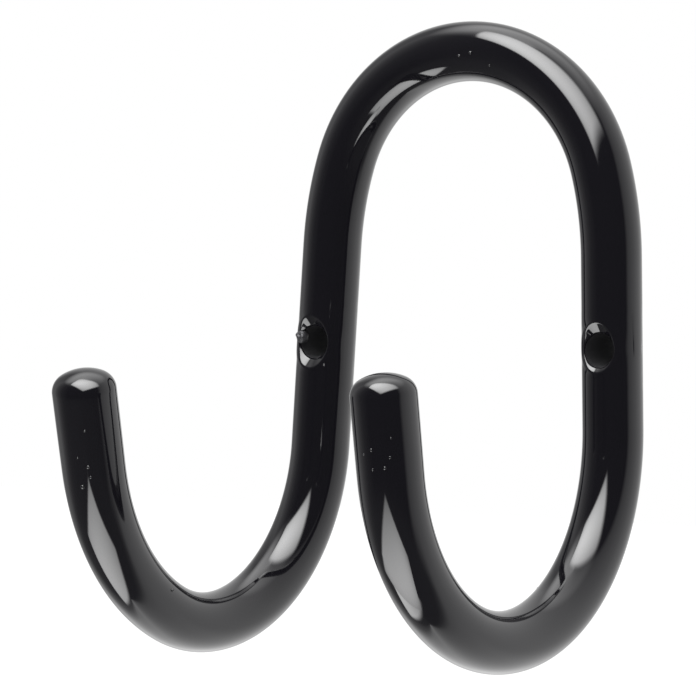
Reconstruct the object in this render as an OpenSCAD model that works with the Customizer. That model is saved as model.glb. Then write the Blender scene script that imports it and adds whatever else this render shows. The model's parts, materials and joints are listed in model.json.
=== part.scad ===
// Double coat hook: one round steel rod, bent to a tall loop whose two legs turn forward and up as hooks.
// +Z is up, +X is to the right of someone facing the wall, and the wall is the plane y = 0, behind the part.
// The origin lies on the wall, midway between the two screw holes.

/* [Rod] */
// Thickness of the coated rod
rod_d = 9; // [6:0.5:12]
// Thickness of the coated rod at its two ends, where the dipped coating gathers
end_d = 9.3; // [9:0.1:13]
// Crown radius of the rounded ends
end_crown_r = 7; // [6.5:0.5:20]
// Radius of the edge around the rounded ends
end_edge_r = 2.6; // [1:0.1:3]

/* [Loop] */
// Distance between the two screw holes, which is also the width of the loop there
hole_spacing = 51.4; // [44:0.1:70]
// Distance from the screw holes up the legs to where the loop starts to bend
hole_to_shoulder = 14.1; // [5:0.1:60]
// Radius of the slack bend on each side of the top bend
shoulder_r = 52; // [45:1:60]
// Angle of each slack bend
shoulder_angle = 14; // [6:0.5:18]
// Lean of the left leg away from upright, outwards and down
left_splay = 3.9; // [0:0.1:6]
// Lean of the right leg away from upright, outwards and down
right_splay = 1.1; // [0:0.1:6]

/* [Left hook] */
// Straight run from the left screw hole down to the hook's bend
left_drop = 15.6; // [8:0.1:22]
// Radius of the bend at the bottom of the left hook
left_bend_r = 25.6; // [20:0.1:32]
// Angle of that bend
left_bend_angle = 115; // [90:1:118]
// Radius of the slacker bend that brings the left hook up
left_rise_r = 35; // [24:0.5:40]
// Angle of that bend
left_rise_angle = 49.5; // [20:0.5:58]
// Length from that bend to the left hook's rounded end, over which the rod thickens
left_end_len = 14.4; // [6:0.1:30]

/* [Right hook] */
// Straight run from the right screw hole down to the hook's bend
right_drop = 11.4; // [6:0.1:16]
// Radius of the right hook's bend
right_bend_r = 28.8; // [20:0.1:36]
// Angle of that bend
right_bend_angle = 172.5; // [150:0.5:180]
// Length from that bend to the right hook's rounded end, over which the rod thickens
right_end_len = 13.8; // [6:0.1:30]

/* [Screw holes] */
// Diameter of each screw hole
hole_d = 5.4; // [3:0.1:5.6]
// Diameter of the countersink, at the front of the rod
sink_d = 7.2; // [5.8:0.1:8]
// Depth of the countersink
sink_depth = 1; // [1:0.1:1.6]

/* [Hidden] */
$fn = 96;
rod_r = rod_d / 2;
end_r = end_d / 2;
coating_black = [0.03, 0.03, 0.03];
past = 1; // how far the hole's cutting shape runs past the rod

// Where two runs of rod meet, they stop a little short of each other, and a ball in the gap joins them.
// The ball is thicker than the rod by a hair, so no surface of one piece lies on a surface of the next.
joint_gap = 0.2;
hair = 0.02;

// The loop's top bend takes up what the legs' lean and the two slack bends leave of a half turn.
half_splay = (left_splay + right_splay) / 2;
loop_tilt = (left_splay - right_splay) / 2;
crown_angle = 180 - 2 * half_splay - 2 * shoulder_angle;
// The tilt of the loop moves the start of its bends up one leg and down the other.
tilt_shift = hole_spacing * sin(loop_tilt) / (2 * cos(half_splay));
left_rise = hole_to_shoulder + tilt_shift;
right_rise = hole_to_shoulder - tilt_shift;
// The top bend's radius is what makes the loop meet both legs.
loop_w = hole_spacing * cos(loop_tilt) - 2 * hole_to_shoulder * sin(half_splay);
crown_lean = half_splay + shoulder_angle;
shoulder_reach = shoulder_r * (cos(half_splay) - cos(crown_lean)) + joint_gap * sin(crown_lean);
crown_r = (loop_w / 2 - shoulder_reach) / cos(crown_lean);

// The rounded end: a shallow crown, blended into the side by an edge arc that is tangent to both.
// The crown stops one step short of the middle of the rod, in a small flat.
edge_x = end_r - end_edge_r;
crown_to_edge = end_crown_r - end_edge_r;
crown_half_angle = asin(edge_x / crown_to_edge);
crown_drop = crown_to_edge * cos(crown_half_angle);
end_round_h = end_crown_r - crown_drop;
end_steps = 6;
flat_half_angle = crown_half_angle / (end_steps + 1);
flat_h = end_crown_r * cos(flat_half_angle) - crown_drop;
end_curve = concat(
    [for (i = [0 : end_steps]) let (a = i / end_steps * (90 - crown_half_angle))
        [edge_x + end_edge_r * cos(a), end_edge_r * sin(a)]],
    [for (i = [1 : end_steps]) let (a = crown_half_angle - i * flat_half_angle)
        [end_crown_r * sin(a), end_crown_r * cos(a) - crown_drop]],
    [[0, flat_h]]);

// Every run of rod starts at the origin and heads down, and a bend turns it forward, to -Y.
module straight(length) {
    translate([0, 0, -length]) cylinder(r = rod_r, h = length);
}

module past_straight(length) {
    translate([0, 0, -length]) children();
}

module bend(radius, angle) {
    translate([0, -radius, 0]) rotate([0, -90, 0]) rotate([0, 0, 90])
        rotate_extrude(angle = angle) translate([radius, 0]) circle(r = rod_r);
}

module past_bend(radius, angle) {
    translate([0, -radius * (1 - cos(angle)), -radius * sin(angle)]) rotate([-angle, 0, 0]) children();
}

// The joint between one run and the next, which follows it as this module's children.
module joint() {
    translate([0, 0, -joint_gap / 2]) sphere(r = rod_r + hair);
    translate([0, 0, -joint_gap]) children();
}

// The last run of rod: it thickens from its bend up to its rounded end.
module rod_end(length) {
    side = length - end_round_h;
    translate([0, 0, -side]) rotate([180, 0, 0])
        rotate_extrude() polygon(concat([[0, -side], [rod_r, -side]], end_curve));
}

// A leg's own frame has its origin at the screw hole, on the middle of the rod, with the leg along Z.
module on_leg(side, splay) {
    translate([side * hole_spacing / 2, -rod_r, 0]) rotate([0, -side * splay, 0]) children();
}

module leg(rise, drop) {
    translate([0, 0, rise]) straight(rise + drop);
}

module left_hook() {
    past_straight(left_drop) joint() {
        bend(left_bend_r, left_bend_angle);
        past_bend(left_bend_r, left_bend_angle) joint() {
            bend(left_rise_r, left_rise_angle);
            past_bend(left_rise_r, left_rise_angle) joint() rod_end(left_end_len);
        }
    }
}

module right_hook() {
    past_straight(right_drop) joint() {
        bend(right_bend_r, right_bend_angle);
        past_bend(right_bend_r, right_bend_angle) joint() rod_end(right_end_len);
    }
}

// The loop runs from the top of the left leg over to the top of the right one.
module loop() {
    joint() {
        bend(shoulder_r, shoulder_angle);
        past_bend(shoulder_r, shoulder_angle) joint() {
            bend(crown_r, crown_angle);
            past_bend(crown_r, crown_angle) joint() {
                bend(shoulder_r, shoulder_angle);
                past_bend(shoulder_r, shoulder_angle) joint();
            }
        }
    }
}

module screw_hole(side) {
    sink_slope = (sink_d - hole_d) / 2 / sink_depth;
    translate([side * hole_spacing / 2, -rod_r, 0]) rotate([90, 0, 0]) rotate_extrude() polygon([
        [0, -rod_r - past], [hole_d / 2, -rod_r - past], [hole_d / 2, rod_r - sink_depth],
        [sink_d / 2 + sink_slope * past, rod_r + past], [0, rod_r + past]]);
}

module coat_hook() {
    color(coating_black) difference() {
        union() {
            on_leg(-1, left_splay) {
                translate([0, 0, left_rise]) rotate([180, 0, -90]) loop();
                leg(left_rise, left_drop);
                left_hook();
            }
            on_leg(1, right_splay) {
                leg(right_rise, right_drop);
                right_hook();
            }
        }
        for (side = [-1, 1]) screw_hole(side);
    }
}

coat_hook();
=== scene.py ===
# %% [markdown]
# # A double coat hook, in gloss black dipped plastic
# The real thing is one steel rod, bent cold into a tall loop whose two legs turn forward and up as hooks.
# Two screw holes are drilled through the legs, and the whole rod is then dipped in liquid black plastic.
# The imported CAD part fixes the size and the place. This lesson gives it the dipped skin: a rod that
# thickens at its ends, soft lips round the holes, and a deep gloss that shows the studio like a mirror.

# %% Load the frame
import json
import math
import random

import bmesh
import bpy
from mathutils import Matrix, Vector, noise


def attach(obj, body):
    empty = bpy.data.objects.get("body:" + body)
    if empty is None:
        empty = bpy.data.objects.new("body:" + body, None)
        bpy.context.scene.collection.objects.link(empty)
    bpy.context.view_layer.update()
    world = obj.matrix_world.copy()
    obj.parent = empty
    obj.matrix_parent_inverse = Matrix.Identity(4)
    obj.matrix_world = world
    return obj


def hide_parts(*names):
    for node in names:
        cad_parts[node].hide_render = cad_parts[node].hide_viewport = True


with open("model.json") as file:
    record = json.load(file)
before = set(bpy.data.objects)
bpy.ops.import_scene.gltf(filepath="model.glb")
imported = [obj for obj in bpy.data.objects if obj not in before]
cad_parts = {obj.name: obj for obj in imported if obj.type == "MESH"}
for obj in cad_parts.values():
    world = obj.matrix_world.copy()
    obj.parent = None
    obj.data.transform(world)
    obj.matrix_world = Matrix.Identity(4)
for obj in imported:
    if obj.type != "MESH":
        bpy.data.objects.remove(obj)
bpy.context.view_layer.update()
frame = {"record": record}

# %% [markdown]
# ## Sizes
# Blender works in metres, so every size is a number of millimetres times MM. The two screw holes and their
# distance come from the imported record, because they are the datum that the whole part hangs from. The
# rest repeats the bends that the rod is made with, in the order in which the rod runs through them. HAIR
# keeps the skin just inside the CAD solid, and JOINT is the short straight step between two bends.

# %% Sizes of the rod and its bends
MM = 0.001
mount = frame["record"]["mounts"][0]["dims"]
HOLE_SPACING = mount["spacing_x_mm"] * MM
BORE_R = mount["hole_r_mm"] * MM
ROD_R = 4.5 * MM
END_R = 4.65 * MM
HAIR = 0.02 * MM
JOINT = 0.2 * MM

LOOP_START = 14.1 * MM
SHOULDER_R = 52 * MM
SHOULDER_TURN = math.radians(14)
LEFT_SPLAY = math.radians(3.9)
RIGHT_SPLAY = math.radians(1.1)

LEFT_DROP = 15.6 * MM
LEFT_BEND = (25.6 * MM, math.radians(115))
LEFT_RISE = (35 * MM, math.radians(49.5))
LEFT_END = 14.4 * MM
RIGHT_DROP = 11.4 * MM
RIGHT_BEND = (28.8 * MM, math.radians(172.5))
RIGHT_END = 13.8 * MM
print("holes", round(HOLE_SPACING / MM, 1), "mm apart, bore", round(BORE_R * 2 / MM, 1), "mm")

# %% [markdown]
# ## A path of frames
# A bent rod is easiest to think of as a walk: go straight, turn, go straight. Each step of the walk leaves a
# frame, which is a 4x4 matrix that says where the middle of the rod is and which way it heads (its local Z).
# A turn is a small rotation about a point beside the rod. A turn about local X bends the rod away from the
# wall, and a turn about local Y bends it sideways, in the plane of the loop.

# %% Walk along the rod
STEP = 1.0 * MM


def straight(length):
    """The move from one frame to the next along a straight rod."""
    return Matrix.Translation((0, 0, length))


def bend(radius, turn, axis):
    """The move from one frame to the next round a bend."""
    pivot = Vector((0, -radius, 0)) if axis == "X" else Vector((radius, 0, 0))
    return Matrix.Translation(pivot) @ Matrix.Rotation(turn, 4, axis) @ Matrix.Translation(-pivot)


def walk(start, runs):
    """The frames along a chain of runs, about STEP apart. A run is ("straight", length) or ("bend", ...)."""
    frames = [start]
    for kind, *sizes in runs:
        if kind == "straight":
            count = max(1, round(sizes[0] / STEP))
            move = straight(sizes[0] / count)
        else:
            radius, turn, axis = sizes
            count = max(1, round(radius * turn / STEP))
            move = bend(radius, turn / count, axis)
        for _ in range(count):
            frames.append(frames[-1] @ move)
    return frames


def leg(side, splay):
    """The frame of a leg at its screw hole, heading up."""
    return Matrix.Translation((side * HOLE_SPACING / 2, -ROD_R, 0)) @ Matrix.Rotation(-side * splay, 4, "Y")


HEAD_BACK = Matrix.Rotation(math.pi, 4, "Y")
left_leg = leg(-1, LEFT_SPLAY)
right_leg = leg(1, RIGHT_SPLAY)
print("left leg's hole at, mm:", [round(c / MM, 2) for c in left_leg.translation])

# %% [markdown]
# ## The loop
# The loop has to meet both legs, so its top bend isn't chosen: its angle is what the legs' lean and the two
# slack shoulder bends leave of a half turn, and its radius is what closes the gap.

# %% Work out the loop
half_splay = (LEFT_SPLAY + RIGHT_SPLAY) / 2
loop_tilt = (LEFT_SPLAY - RIGHT_SPLAY) / 2
crown_turn = math.pi - 2 * half_splay - 2 * SHOULDER_TURN
tilt_shift = HOLE_SPACING * math.sin(loop_tilt) / (2 * math.cos(half_splay))
loop_width = HOLE_SPACING * math.cos(loop_tilt) - 2 * LOOP_START * math.sin(half_splay)
lean = half_splay + SHOULDER_TURN
shoulder_reach = SHOULDER_R * (math.cos(half_splay) - math.cos(lean)) + JOINT * math.sin(lean)
crown_r = (loop_width / 2 - shoulder_reach) / math.cos(lean)
print("top bend:", round(math.degrees(crown_turn), 1), "degrees at", round(crown_r / MM, 2), "mm")

# %% [markdown]
# ## The rounded ends, and the whole walk
# Each end is a shallow crown, blended into the side of the rod by an arc round its edge. The height of the
# crown comes off the last straight run, so that the rod keeps its length. If the sums for the loop are right,
# the walk that starts on the left leg lands on the right one, and the print below shows how closely.

# %% Walk the whole rod
END_EDGE_R = 2.6 * MM
END_CROWN_R = 7 * MM
edge_x = END_R - HAIR - END_EDGE_R
crown_half = math.asin(edge_x / (END_CROWN_R - END_EDGE_R))
crown_drop = (END_CROWN_R - END_EDGE_R) * math.cos(crown_half)
end_round_h = END_CROWN_R - crown_drop

left_hook = walk(left_leg @ HEAD_BACK, [
    ("straight", LEFT_DROP), ("straight", JOINT), ("bend", *LEFT_BEND, "X"), ("straight", JOINT),
    ("bend", *LEFT_RISE, "X"), ("straight", JOINT), ("straight", LEFT_END - end_round_h)])
up_and_over = walk(left_leg, [
    ("straight", LOOP_START + tilt_shift + JOINT), ("bend", SHOULDER_R, SHOULDER_TURN, "Y"),
    ("straight", JOINT), ("bend", crown_r, crown_turn, "Y"), ("straight", JOINT),
    ("bend", SHOULDER_R, SHOULDER_TURN, "Y"), ("straight", LOOP_START - tilt_shift + JOINT)])
right_hook = walk(right_leg @ HEAD_BACK, [
    ("straight", RIGHT_DROP), ("straight", JOINT), ("bend", *RIGHT_BEND, "X"), ("straight", JOINT),
    ("straight", RIGHT_END - end_round_h)])
miss = (up_and_over[-1].translation - right_leg.translation).length
rod_path = [f @ HEAD_BACK for f in reversed(left_hook)] + up_and_over[1:] + right_hook[1:]
print(len(rod_path), "frames; the loop lands", round(miss / MM, 4), "mm from the right leg")

# %% [markdown]
# ## The rod
# One ring of edges is extruded from frame to frame, which is how a sweep is made by hand in Edit Mode. It
# keeps the quads in rows, so a highlight runs smoothly down the rod. The dip gathers at the two ends as the
# rod drips dry, so the ring grows a little over the last 30 mm, and then closes over a rounded end.

# %% Sweep the rod
SIDES = 96
THICKENING = 30 * MM
END_STEPS = 8


def grow(bm, ring, old, new, swell):
    """Extrudes a ring of edges, and carries the new ring from one frame to the next."""
    made = bmesh.ops.extrude_edge_only(bm, edges=ring)["geom"]
    verts = [g for g in made if isinstance(g, bmesh.types.BMVert)]
    bmesh.ops.transform(bm, matrix=new @ Matrix.Scale(swell, 4) @ old.inverted(), verts=verts)
    fresh = set(verts)
    return [g for g in made if isinstance(g, bmesh.types.BMEdge) and fresh.issuperset(g.verts)]


def rounded_end():
    """How far past the side each ring of a rounded end lies, and its radius, from the side to the middle."""
    rings = []
    for i in range(1, END_STEPS + 1):
        angle = i / END_STEPS * (math.pi / 2 - crown_half)
        rings.append((END_EDGE_R * math.sin(angle), edge_x + END_EDGE_R * math.cos(angle)))
    for i in range(1, END_STEPS):
        angle = crown_half * (1 - i / END_STEPS)
        rings.append((END_CROWN_R * math.cos(angle) - crown_drop, END_CROWN_R * math.sin(angle)))
    return rings


def side_radius(distance_from_end):
    """The rod's radius, which grows smoothly along the last stretch before an end."""
    share = max(0.0, 1 - distance_from_end / THICKENING)
    return ROD_R - HAIR + (END_R - ROD_R) * share * share * (3 - 2 * share)


distances = [0.0]
for before, after in zip(rod_path, rod_path[1:]):
    distances.append(distances[-1] + (after.translation - before.translation).length)
rod_length = distances[-1]
stations = [(f, side_radius(min(d, rod_length - d))) for f, d in zip(rod_path, distances)]
start_cap = [(rod_path[0] @ Matrix.Translation((0, 0, -h)), r) for h, r in reversed(rounded_end())]
end_cap = [(rod_path[-1] @ Matrix.Translation((0, 0, h)), r) for h, r in rounded_end()]
stations = start_cap + stations + end_cap

bm = bmesh.new()
first_frame, first_r = stations[0]
bmesh.ops.create_circle(bm, cap_ends=True, cap_tris=True, segments=SIDES, radius=first_r, matrix=first_frame)
ring = [e for e in bm.edges if e.is_boundary]
for (old, old_r), (new, new_r) in zip(stations, stations[1:]):
    ring = grow(bm, ring, old, new, new_r / old_r)
last_cap = bmesh.ops.holes_fill(bm, edges=ring, sides=0)["faces"]
bmesh.ops.poke(bm, faces=last_cap)
bmesh.ops.recalc_face_normals(bm, faces=bm.faces)
print("rod:", len(bm.faces), "faces,", round(rod_length / MM, 1), "mm between its rounded ends")

# %% [markdown]
# ## The lip of a screw hole
# A hole through a round rod has a rim that is a saddle, not a flat circle, so the lip is best written as a
# height over each spot of the leg. The dip piles up in a low collar, a little higher on its left, then
# follows the countersink. The two heights meet in a soft crossing, because a dipped skin has no sharp edge.
# Each countersink has a radius and a lift, which is how far its middle sits above the bore's.

# %% The lip's height
LEFT_SINK = (4.0 * MM, 0.05 * MM)
RIGHT_SINK = (3.65 * MM, 0.4 * MM)
SINK_SLOPE = 0.77
COLLAR_INSET = 0.25 * MM
COLLAR_H = 0.12 * MM
COLLAR_W = 0.5 * MM
COLLAR_TILT = 0.5
BLEND = 0.18 * MM


def soft_min(a, b, width):
    """The smaller of two heights, with the crossing rounded over about the given width."""
    h = max(width - abs(a - b), 0.0) / width
    return min(a, b) - h * h * width / 4


def rod_height(x):
    """Height of the plain rod above its middle."""
    return math.sqrt(max((ROD_R - HAIR) ** 2 - x * x, 0.0))


def lip_height(x, z, sink):
    """Height of the coated skin above the middle of the rod. Without a sink it is the plain rod."""
    if sink is None:
        return rod_height(x)
    sink_r, lift = sink
    rho = math.hypot(x, z - lift)
    swell = COLLAR_H * (1 - COLLAR_TILT * x / ROD_R)
    collar = swell * math.exp(-((rho - sink_r + COLLAR_INSET) / COLLAR_W) ** 2)
    cone = ROD_R - (sink_r - rho) * SINK_SLOPE
    return soft_min(rod_height(x) + collar, cone, BLEND)


print("countersinks:", [round(2 * r / MM, 2) for r, _ in (LEFT_SINK, RIGHT_SINK)], "mm across")

# %% [markdown]
# ## The screw holes
# A window of faces is cut out of each side of the leg, a circle is laid on the rod inside it, and the two
# edge loops are bridged. The rim is then extruded inwards ring by ring, each ring is laid on the lip's own
# height, and the last few roll over the edge into the bore. The bore narrows towards the wall.

# %% Cut the screw holes
PATCH_R = 4.25 * MM
PATCH_CUTS = 4
WINDOW_HALF_H = 5.5 * MM
WINDOW_HALF_TURN = math.radians(75)
LIP_STEPS = 14
BORE_EDGE_R = 0.18 * MM
BORE_EDGE_STEPS = 5
BORE_CUTS = 7
BACK_BORE_R = 1.5 * MM


def lay_ring(verts, leg_frame, facing, rho, sink, depth=0.0):
    """Lays a ring of vertices round the hole at radius rho, on the coated skin or a depth below it."""
    to_leg = leg_frame.inverted()
    for v in verts:
        p = to_leg @ v.co
        stretch = rho / math.hypot(p.x, p.z)
        x, z = p.x * stretch, p.z * stretch
        v.co = leg_frame @ Vector((x, facing * (lip_height(x, z, sink) - depth), z))


def cut_window(bm, leg_frame, facing):
    """Cuts a window of faces out of one side of a leg, and returns the edges round it."""
    to_leg = leg_frame.inverted()
    window = []
    for face in bm.faces:
        p = to_leg @ face.calc_center_median()
        near = abs(p.z) < WINDOW_HALF_H and math.hypot(p.x, p.y) < 2 * ROD_R
        if near and abs(math.atan2(p.x, facing * p.y)) < WINDOW_HALF_TURN:
            window.append(face)
    bmesh.ops.delete(bm, geom=window, context="FACES")
    return [e for e in bm.edges if e.is_boundary]


def open_side(bm, leg_frame, facing, sink, bore_r):
    """Opens one side of a leg down to the bore, and returns the ring of edges at the top of the bore."""
    outline = cut_window(bm, leg_frame, facing)
    to_leg = leg_frame.inverted()
    flat = leg_frame @ Matrix.Rotation(math.pi / 2, 4, "X")
    circle = bmesh.ops.create_circle(bm, segments=len(outline), radius=PATCH_R, matrix=flat)["verts"]
    lay_ring(circle, leg_frame, facing, PATCH_R, sink)
    rim = list({e for v in circle for e in v.link_edges})
    bridges = bmesh.ops.bridge_loops(bm, edges=outline + rim)["edges"]
    cut = bmesh.ops.subdivide_edges(bm, edges=bridges, cuts=PATCH_CUTS, use_grid_fill=True)["geom_inner"]
    for v in [g for g in cut if isinstance(g, bmesh.types.BMVert)]:
        p = to_leg @ v.co
        v.co = leg_frame @ Vector((p.x, facing * lip_height(p.x, p.z, sink), p.z))
    rings = [(PATCH_R + (bore_r - PATCH_R) * i / LIP_STEPS, 0.0) for i in range(1, LIP_STEPS + 1)]
    for i in range(1, BORE_EDGE_STEPS + 1):
        angle = i / BORE_EDGE_STEPS * math.pi / 2
        rings.append((bore_r - BORE_EDGE_R * math.sin(angle), BORE_EDGE_R * (1 - math.cos(angle))))
    for rho, depth in rings:
        made = bmesh.ops.extrude_edge_only(bm, edges=rim)["geom"]
        verts = [g for g in made if isinstance(g, bmesh.types.BMVert)]
        lay_ring(verts, leg_frame, facing, rho, sink, depth)
        fresh = set(verts)
        rim = [g for g in made if isinstance(g, bmesh.types.BMEdge) and fresh.issuperset(g.verts)]
    return rim


for leg_frame, sink in ((left_leg, LEFT_SINK), (right_leg, RIGHT_SINK)):
    front = open_side(bm, leg_frame, -1, sink, BORE_R)
    back = open_side(bm, leg_frame, 1, None, BACK_BORE_R)
    skin = set(bm.faces)
    bore = bmesh.ops.bridge_loops(bm, edges=front + back)["edges"]
    bmesh.ops.subdivide_edges(bm, edges=bore, cuts=BORE_CUTS, use_grid_fill=True)
    for face in bm.faces:
        if face not in skin:
            # Slot 1 is the bore's painted shade.
            face.material_index = 1
bmesh.ops.recalc_face_normals(bm, faces=bm.faces)
loose = [e for e in bm.edges if not e.is_manifold]
print("holes cut:", len(bm.faces), "faces in all,", len(loose), "open edges")

# %% [markdown]
# ## Dust nibs
# Dust that settles in the wet dip cures as nibs, which catch the light as bright specks. Each one is a small
# ball, stretched a little along the rod and sunk to its middle in the skin. They are strewn by a seeded draw,
# so that each run gives the same ones. A zone says how many, the first and last mm along the rod from its
# left end, and the first and last degree round it from the front. A minus counts mm from the right end.

# %% Strew the nibs
NIB_SEED = 7
NIB_ZONES = {
    "left tip": (5, 4, 18, 145, 178),
    "right tip": (6, -10, -5, 165, 230),
    "top of the loop": (3, 165, 177, 0, 20),
    "rest of the rod": (7, 25, 300, -110, 130)}
NIB_HALF_WIDTH = (0.14, 0.32)
NIB_STRETCH = (0.9, 1.4)


def add_nib(bm, along, turn, half_length, half_width):
    """Sinks a ball in the skin, a number of mm along the rod and of degrees round it from the front."""
    i = min(range(len(distances)), key=lambda n: abs(distances[n] - along * MM))
    slide = Matrix.Translation((0, 0, along * MM - distances[i]))
    spot = rod_path[i] @ slide @ Matrix.Rotation(math.radians(turn), 4, "Z")
    surface = side_radius(min(distances[i], rod_length - distances[i]))
    stretch = Matrix.Diagonal((half_width * MM, half_width * MM, half_length * MM, 1))
    ball = spot @ Matrix.Translation((0, -surface, 0)) @ stretch
    bmesh.ops.create_icosphere(bm, subdivisions=2, radius=1, matrix=ball)


dice = random.Random(NIB_SEED)
nib_count = 0
for count, first_mm, last_mm, first_turn, last_turn in NIB_ZONES.values():
    for _ in range(count):
        along = dice.uniform(first_mm, last_mm) % (rod_length / MM)
        half_width = dice.uniform(*NIB_HALF_WIDTH)
        turn = dice.uniform(first_turn, last_turn)
        add_nib(bm, along, turn, half_width * dice.uniform(*NIB_STRETCH), half_width)
        nib_count += 1
print(nib_count, "nibs")

# %% [markdown]
# ## A burr of coating
# A ragged scrap of coating is left on the rim of the left hole. It is a ball, pushed in and out by smooth
# noise, and half buried in the rim, which is quicker than sculpting a scrap that is about 2 mm across.

# %% Add the burr
BURR_AT = (-2.35 * MM, -3.2 * MM, 0.6 * MM)
BURR_R = 0.95 * MM
BURR_RAGGED = 0.25
BURR_LUMPS = 1.5
burr_spot = left_leg @ Matrix.Translation(BURR_AT)
burr = bmesh.ops.create_icosphere(bm, subdivisions=4, radius=BURR_R, matrix=burr_spot)["verts"]
for v in burr:
    out = (v.co - burr_spot.translation).normalized()
    v.co += out * BURR_R * BURR_RAGGED * noise.noise(out * BURR_LUMPS)
for face in {f for v in burr for f in v.link_faces}:
    face.material_index = 2
print("burr:", len(burr), "vertices")

# %% [markdown]
# ## Finish the mesh
# The bmesh becomes an ordinary mesh object at the origin, unturned and unscaled, with its place in its
# vertices. Smooth shading is set on every face, because a dipped skin has no sharp edge anywhere.

# %% Make the object
coat_hook_mesh = bpy.data.meshes.new("dipped_rod")
bm.to_mesh(coat_hook_mesh)
bm.free()
coat_hook_mesh.shade_smooth()
dipped_rod = bpy.data.objects.new("dipped_rod", coat_hook_mesh)
bpy.context.scene.collection.objects.link(dipped_rod)
print("dipped_rod:", len(coat_hook_mesh.vertices), "vertices")

# %% [markdown]
# ## Helpers for materials
# Colours are written as sRGB hex values, as a paint chart gives them, and turned to the linear values that
# shaders take. One function adds any kind of node, and feeds each input from a socket or a plain number.

# %% Colour and node helpers
def linear(hex_colour):
    """An sRGB hex colour as the linear RGBA that a shader socket takes."""
    channels = [int(hex_colour[i:i + 2], 16) / 255 for i in (1, 3, 5)]
    return [c / 12.92 if c <= 0.04045 else ((c + 0.055) / 1.055) ** 2.4 for c in channels] + [1.0]


def add_node(tree, kind, inputs=None, **settings):
    """Adds a node, sets its properties or sockets by name, and feeds its inputs."""
    node = tree.nodes.new(kind)
    for name, value in settings.items():
        if hasattr(node, name):
            setattr(node, name, value)
        else:
            node.inputs[name.replace("_", " ")].default_value = value
    for socket, source in (inputs or {}).items():
        if isinstance(source, bpy.types.NodeSocket):
            tree.links.new(source, node.inputs[socket])
        else:
            node.inputs[socket].default_value = source
    return node


def coating(name):
    """A new material in the rod's next slot, as its node tree and its shader."""
    material = bpy.data.materials.new(name)
    material.use_nodes = True
    dipped_rod.data.materials.append(material)
    return material.node_tree, material.node_tree.nodes["Principled BSDF"]


print("mid grey in linear light:", round(linear("#808080")[0], 3))

# %% [markdown]
# ## Gloss black dipped plastic
# The skin is a soft vinyl, dipped and cured in an oven, so it levels itself into a near mirror. It is almost
# black, and all that the eye sees is what it reflects. Its IOR is that of vinyl, about 1.5. It isn't
# perfectly flat: it sags in slow waves a few millimetres long, which bend the edges of a highlight.

# %% Dipped plastic
SAG_WAVE = 6 * MM
SAG_HEIGHT = 0.004 * MM

tree, shader = coating("gloss_black_dipped_plastic")
place = add_node(tree, "ShaderNodeTexCoord").outputs["Object"]
sag = add_node(tree, "ShaderNodeTexNoise", {"Vector": place}, Scale=1 / SAG_WAVE, Detail=1.0)
bump = add_node(tree, "ShaderNodeBump", {"Height": sag.outputs["Fac"]}, Strength=1.0, Distance=SAG_HEIGHT)
tree.links.new(bump.outputs["Normal"], shader.inputs["Normal"])
shader.inputs["Base Color"].default_value = linear("#18171c")
shader.inputs["IOR"].default_value = 1.5
shader.inputs["Roughness"].default_value = 0.05
print("plastic: sag waves", SAG_WAVE / MM, "mm long")

# %% [markdown]
# ## Painted shade in the bores
# No highlight shows inside the screw holes, so the gloss of the skin would be wrong there. The bores get
# painted shade:
# a dull black, rough and with very little reflection, which keeps them dark so that they read as deep holes.

# %% Painted shade in the bore
tree, shader = coating("painted_shade_bore")
# Painted shade: this colour and the dull gloss stand in for the shade deep in the recess.
shader.inputs["Base Color"].default_value = linear("#353537")
shader.inputs["Roughness"].default_value = 0.7
shader.inputs["Specular IOR Level"].default_value = 0.1
print("bore: roughness", round(shader.inputs["Roughness"].default_value, 2))

# %% [markdown]
# ## Torn black coating
# Where the coating is torn it is greyer and rougher than the skin, because the tear scatters light that the
# levelled skin would mirror. It keeps some gloss, since it is the same vinyl.

# %% Torn coating
tree, shader = coating("torn_black_coating")
shader.inputs["Base Color"].default_value = linear("#454548")
shader.inputs["Roughness"].default_value = 0.4
shader.inputs["Specular IOR Level"].default_value = 0.3
print("materials:", [m.name for m in dipped_rod.data.materials])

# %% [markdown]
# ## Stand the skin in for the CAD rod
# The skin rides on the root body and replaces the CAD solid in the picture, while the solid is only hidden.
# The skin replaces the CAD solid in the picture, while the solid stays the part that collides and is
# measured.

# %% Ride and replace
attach(dipped_rod, "root")
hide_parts("coat_hook")
print("dipped_rod stands in for coat_hook")

# %% [markdown]
# ## The floor
# Everything in the studio is stage: it is there for the picture, and isn't part of the hook. The floor lies
# far below the hook. It is matt and pale, and glows a little to the camera alone, which turns it white in the
# picture without any more light on the hook.

# %% Floor
FLOOR_Z = -0.4
FLOOR_SIZE = 8.0
FLOOR_GLOW = 0.5


def plane(name, width, height, matrix):
    """A flat sheet of the stage."""
    sheet = bmesh.new()
    bmesh.ops.create_grid(sheet, x_segments=1, y_segments=1, size=0.5)
    bmesh.ops.scale(sheet, vec=(width, height, 1), verts=sheet.verts)
    mesh = bpy.data.meshes.new(name)
    sheet.to_mesh(mesh)
    sheet.free()
    obj = bpy.data.objects.new(name, mesh)
    obj.matrix_world = matrix
    bpy.context.scene.collection.objects.link(obj)
    return obj


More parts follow.
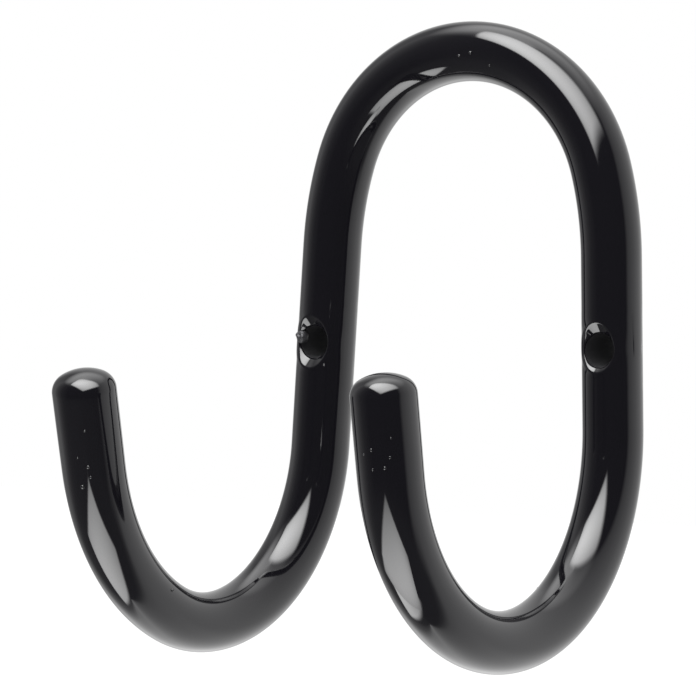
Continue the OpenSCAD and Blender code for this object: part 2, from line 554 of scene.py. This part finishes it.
floor = plane("floor", FLOOR_SIZE, FLOOR_SIZE, Matrix.Translation((0, 0, FLOOR_Z)))
floor.visible_glossy = False
paint = bpy.data.materials.new("floor_paint")
paint.use_nodes = True
tree = paint.node_tree
tree.nodes.clear()
matt = add_node(tree, "ShaderNodeBsdfDiffuse", Color=linear("#e8e8e8"))
ray = add_node(tree, "ShaderNodeLightPath")
glow = add_node(tree, "ShaderNodeEmission", {"Strength": ray.outputs["Is Camera Ray"]},
                Color=(FLOOR_GLOW, FLOOR_GLOW, FLOOR_GLOW, 1))
both = add_node(tree, "ShaderNodeAddShader", {0: matt.outputs[0], 1: glow.outputs[0]})
add_node(tree, "ShaderNodeOutputMaterial", {"Surface": both.outputs[0]})
floor.data.materials.append(paint)
print("floor", FLOOR_SIZE, "m wide,", -FLOOR_Z, "m below the screw holes")

# %% [markdown]
# ## Softbox fabric
# Gloss black is lit by what it mirrors. A softbox is a sheet that glows from behind: it is brightest in its
# middle, fades towards its corners and has a soft edge. The edge and the back of the sheet are see-through,
# so that a box never shows as a dark shape in front of another one.

# %% A glowing sheet of fabric
def fabric(name, half_w, half_h, soft, brightness, falloff):
    """Glowing fabric for a sheet. Each direction gives a share of the edge and a share of the brightness."""
    material = bpy.data.materials.new(name)
    material.use_nodes = True
    tree = material.node_tree
    tree.nodes.clear()
    spot = add_node(tree, "ShaderNodeTexCoord").outputs["Object"]
    xyz = add_node(tree, "ShaderNodeSeparateXYZ", {0: spot})
    edges = []
    dims = []
    for axis, half in (("X", half_w), ("Y", half_h)):
        out = add_node(tree, "ShaderNodeMath", {0: xyz.outputs[axis]}, operation="ABSOLUTE").outputs[0]
        edge = add_node(tree, "ShaderNodeMapRange", {"Value": out}, interpolation_type="SMOOTHSTEP",
                        From_Min=half + soft, From_Max=half - soft)
        square = add_node(tree, "ShaderNodeMath", {0: out, 1: out}, operation="MULTIPLY")
        dim = add_node(tree, "ShaderNodeMath", {0: square.outputs[0], 1: -falloff / half ** 2, 2: 0.5},
                       operation="MULTIPLY_ADD")
        edges.append(edge.outputs[0])
        dims.append(dim.outputs[0])
    inside = add_node(tree, "ShaderNodeMath", {0: edges[0], 1: edges[1]}, operation="MULTIPLY")
    level = add_node(tree, "ShaderNodeMath", {0: dims[0], 1: dims[1]}, operation="ADD")
    strength = add_node(tree, "ShaderNodeMath", {0: level.outputs[0], 1: brightness}, operation="MULTIPLY")
    behind = add_node(tree, "ShaderNodeNewGeometry").outputs["Backfacing"]
    in_front = add_node(tree, "ShaderNodeMath", {0: 1.0, 1: behind}, operation="SUBTRACT")
    cover = add_node(tree, "ShaderNodeMath", {0: inside.outputs[0], 1: in_front.outputs[0]},
                     operation="MULTIPLY")
    light = add_node(tree, "ShaderNodeEmission", {"Strength": strength.outputs[0]})
    clear = add_node(tree, "ShaderNodeBsdfTransparent")
    look = add_node(tree, "ShaderNodeMixShader",
                    {0: cover.outputs[0], 1: clear.outputs[0], 2: light.outputs[0]})
    add_node(tree, "ShaderNodeOutputMaterial", {"Surface": look.outputs[0]})
    return material


print("fabric: ready for the softboxes")

# %% [markdown]
# ## Two softboxes and a card
# One softbox stands high and one low, and their corners are the spear points of light on the bends. A flat
# box gives only one of the two hooks its spear, so a small card stands close in front of the right hook for
# the other. All three are seen in reflections only. A bearing is counted in degrees from straight out of
# the wall, to the right, and a height in degrees above level.

# %% Place the softboxes
AIM = Vector((0, -30 * MM, 0))


def towards(bearing, height):
    """The direction with this bearing and height."""
    bearing, height = math.radians(bearing), math.radians(height)
    flat = math.cos(height)
    return Vector((math.sin(bearing) * flat, -math.cos(bearing) * flat, math.sin(height)))


def softbox(name, distance, place, back, roll, half_w, half_h, soft, brightness, falloff):
    """A glowing sheet that stands at place, seen from AIM, and has its back turned to the direction back."""
    normal = -towards(*back)
    across = normal.cross(Vector((0, 0, 1))).normalized()
    stand = Matrix((across, normal.cross(across), normal)).transposed().to_4x4()
    middle = Matrix.Translation(AIM + distance * towards(*place))
    stand = middle @ stand @ Matrix.Rotation(math.radians(roll), 4, "Z")
    sheet = plane(name, 2 * (half_w + soft), 2 * (half_h + soft), stand)
    sheet.data.materials.append(fabric(name + "_fabric", half_w, half_h, soft, brightness, falloff))
    sheet.visible_camera = False
    sheet.visible_diffuse = False
    sheet.visible_shadow = False
    print(name, round(distance / MM), "mm off,", round(2 * half_w / MM), "by", round(2 * half_h / MM), "mm")


softbox("high_softbox", distance=376 * MM, place=(-14.5, 66.2), back=(67.8, 45.6), roll=-14.3,
        half_w=155 * MM, half_h=276 * MM, soft=26 * MM, brightness=13.35, falloff=0.36)
softbox("low_softbox", distance=190.2 * MM, place=(-28.9, -60.1), back=(36.4, -61.1), roll=-56.2,
        half_w=91.9 * MM, half_h=59.9 * MM, soft=5.5 * MM, brightness=7.17, falloff=0.25)
softbox("near_card", distance=76.3 * MM, place=(35.5, -45.5), back=(-23.5, -15.3), roll=-33.8,
        half_w=19.6 * MM, half_h=23.7 * MM, soft=1 * MM, brightness=7.78, falloff=0.37)

# %% [markdown]
# ## The room
# The camera sees a white world, and matt surfaces get a plain light from it. Only reflections see the room:
# three ramps of brightness round the horizon, one level with the hook, one high up and one low down, blended
# by height. The room is white behind the hook, which gives the pale bands along the rod's far side, and dark
# in front. A ramp's colours stop at 1, so each holds a share of RAMP_WHITE and is made brighter afterwards.

# %% World
RAMP_WHITE = 4
MATT_LIGHT = 0.75
LEVEL_TO_HIGH = (0.7, 0.9)
LEVEL_TO_LOW = (-0.25, -0.6)
LEVEL_STOPS = [(-180, 1.0), (-135, 0.8), (-118, 0.35), (-102, 0.42), (-88, 0.62), (-72, 0.42), (-50, 0.17),
               (-25, 0.05), (86, 0.05), (97, 0.66), (114, 0.93), (136, 1.12), (180, 1.0)]
HIGH_STOPS = [(-180, 2.3), (-130, 3.1), (-80, 3.0), (-50, 1.0), (50, 0.8), (90, 1.1), (140, 1.9), (180, 2.3)]
LOW_STOPS = [(-180, 1.7), (-150, 2.1), (-122, 1.6), (-110, 0.6), (-95, 0.2), (40, 0.12), (100, 0.14),
             (107, 0.3), (116, 0.9), (125, 1.1), (180, 1.7)]

world = bpy.data.worlds.new("studio")
bpy.context.scene.world = world
world.use_nodes = True
tree = world.node_tree
tree.nodes.clear()
direction = add_node(tree, "ShaderNodeTexCoord").outputs["Generated"]
xyz = add_node(tree, "ShaderNodeSeparateXYZ", {0: direction})
ahead = add_node(tree, "ShaderNodeMath", {0: xyz.outputs["Y"], 1: -1.0}, operation="MULTIPLY")
bearing = add_node(tree, "ShaderNodeMath", {0: xyz.outputs["X"], 1: ahead.outputs[0]}, operation="ARCTAN2")
around = add_node(tree, "ShaderNodeMapRange", {"Value": bearing.outputs[0]},
                  From_Min=-math.pi, From_Max=math.pi)


def panorama(stops):
    """Brightness round the horizon. Stops are (bearing in degrees, brightness)."""
    ramp = add_node(tree, "ShaderNodeValToRGB", {0: around.outputs[0]})
    marks = ramp.color_ramp.elements
    while len(marks) < len(stops):
        marks.new(0.5)
    for mark, (degrees, level) in zip(marks, stops):
        mark.position = (degrees + 180) / 360
        mark.color = (level / RAMP_WHITE, level / RAMP_WHITE, level / RAMP_WHITE, 1)
    return ramp.outputs[0]


level_round = panorama(LEVEL_STOPS)
high_round = panorama(HIGH_STOPS)
low_round = panorama(LOW_STOPS)
upward = add_node(tree, "ShaderNodeMapRange", {"Value": xyz.outputs["Z"]}, interpolation_type="SMOOTHSTEP",
                  From_Min=LEVEL_TO_HIGH[0], From_Max=LEVEL_TO_HIGH[1])
downward = add_node(tree, "ShaderNodeMapRange", {"Value": xyz.outputs["Z"]}, interpolation_type="SMOOTHSTEP",
                    From_Min=LEVEL_TO_LOW[0], From_Max=LEVEL_TO_LOW[1])
upper = add_node(tree, "ShaderNodeMix", {0: upward.outputs[0], 2: level_round, 3: high_round},
                 data_type="FLOAT")
mirrored = add_node(tree, "ShaderNodeMix", {0: downward.outputs[0], 2: upper.outputs[0], 3: low_round},
                    data_type="FLOAT")
brighter = add_node(tree, "ShaderNodeMath", {0: mirrored.outputs[0], 1: RAMP_WHITE}, operation="MULTIPLY")
ray = add_node(tree, "ShaderNodeLightPath")
plain = add_node(tree, "ShaderNodeMix", {0: ray.outputs["Is Camera Ray"], 2: MATT_LIGHT, 3: 1.0},
                 data_type="FLOAT")
strength = add_node(tree, "ShaderNodeMix",
                    {0: ray.outputs["Is Glossy Ray"], 2: plain.outputs[0], 3: brighter.outputs[0]},
                    data_type="FLOAT")
sky = add_node(tree, "ShaderNodeBackground", {"Strength": strength.outputs[0]}, Color=(1, 1, 1, 1))
add_node(tree, "ShaderNodeOutputWorld", {"Surface": sky.outputs[0]})
print("world:", len(tree.nodes), "nodes")

# %% [markdown]
# ## The key lamp
# One soft lamp, high and to the left, gives matt surfaces a gentle direction. It isn't seen in reflections,
# because the softboxes already are.

# %% Key lamp
KEY_SIZE = 0.4
KEY_ENERGY = 0.5
KEY_AT = (-0.07, -0.2, 0.34)

key = bpy.data.lights.new("soft_key", "AREA")
key.shape = "SQUARE"
key.size = KEY_SIZE
key.energy = KEY_ENERGY
key_lamp = bpy.data.objects.new("soft_key", key)
key_lamp.location = KEY_AT
key_lamp.rotation_euler = (AIM - Vector(key_lamp.location)).to_track_quat("-Z", "Y").to_euler()
key_lamp.visible_glossy = False
key_lamp.visible_camera = False
bpy.context.scene.collection.objects.link(key_lamp)
print("key lamp:", KEY_SIZE, "m square,", KEY_ENERGY, "W")

# %% [markdown]
# ## The camera
# The hook is seen from its right, almost level, through a long lens, so its two hooks overlap very little and
# its upright lines stay upright.

# %% Camera
CAMERA_AIM = Vector((-4.92, -28.21, 0.15)) * MM
CAMERA_DISTANCE = 583.0 * MM
CAMERA_BEARING = math.radians(35.26)
CAMERA_HEIGHT = math.radians(2.09)
CAMERA_ROLL = math.radians(0.25)
LENS = 206.5
SENSOR_WIDTH = 36
CLIP_START = 0.01

turned = (Matrix.Rotation(CAMERA_BEARING, 4, "Z") @ Matrix.Rotation(math.pi / 2 - CAMERA_HEIGHT, 4, "X")
          @ Matrix.Rotation(CAMERA_ROLL, 4, "Z"))
camera = bpy.data.objects.new("camera", bpy.data.cameras.new("camera"))
camera.data.lens = LENS
camera.data.sensor_width = SENSOR_WIDTH
camera.data.clip_start = CLIP_START
camera.matrix_world = Matrix.Translation(CAMERA_AIM) @ turned @ Matrix.Translation((0, 0, CAMERA_DISTANCE))
bpy.context.scene.collection.objects.link(camera)
bpy.context.scene.camera = camera
bpy.context.scene.view_settings.view_transform = "Standard"
print("camera at", [round(c, 3) for c in camera.matrix_world.translation])
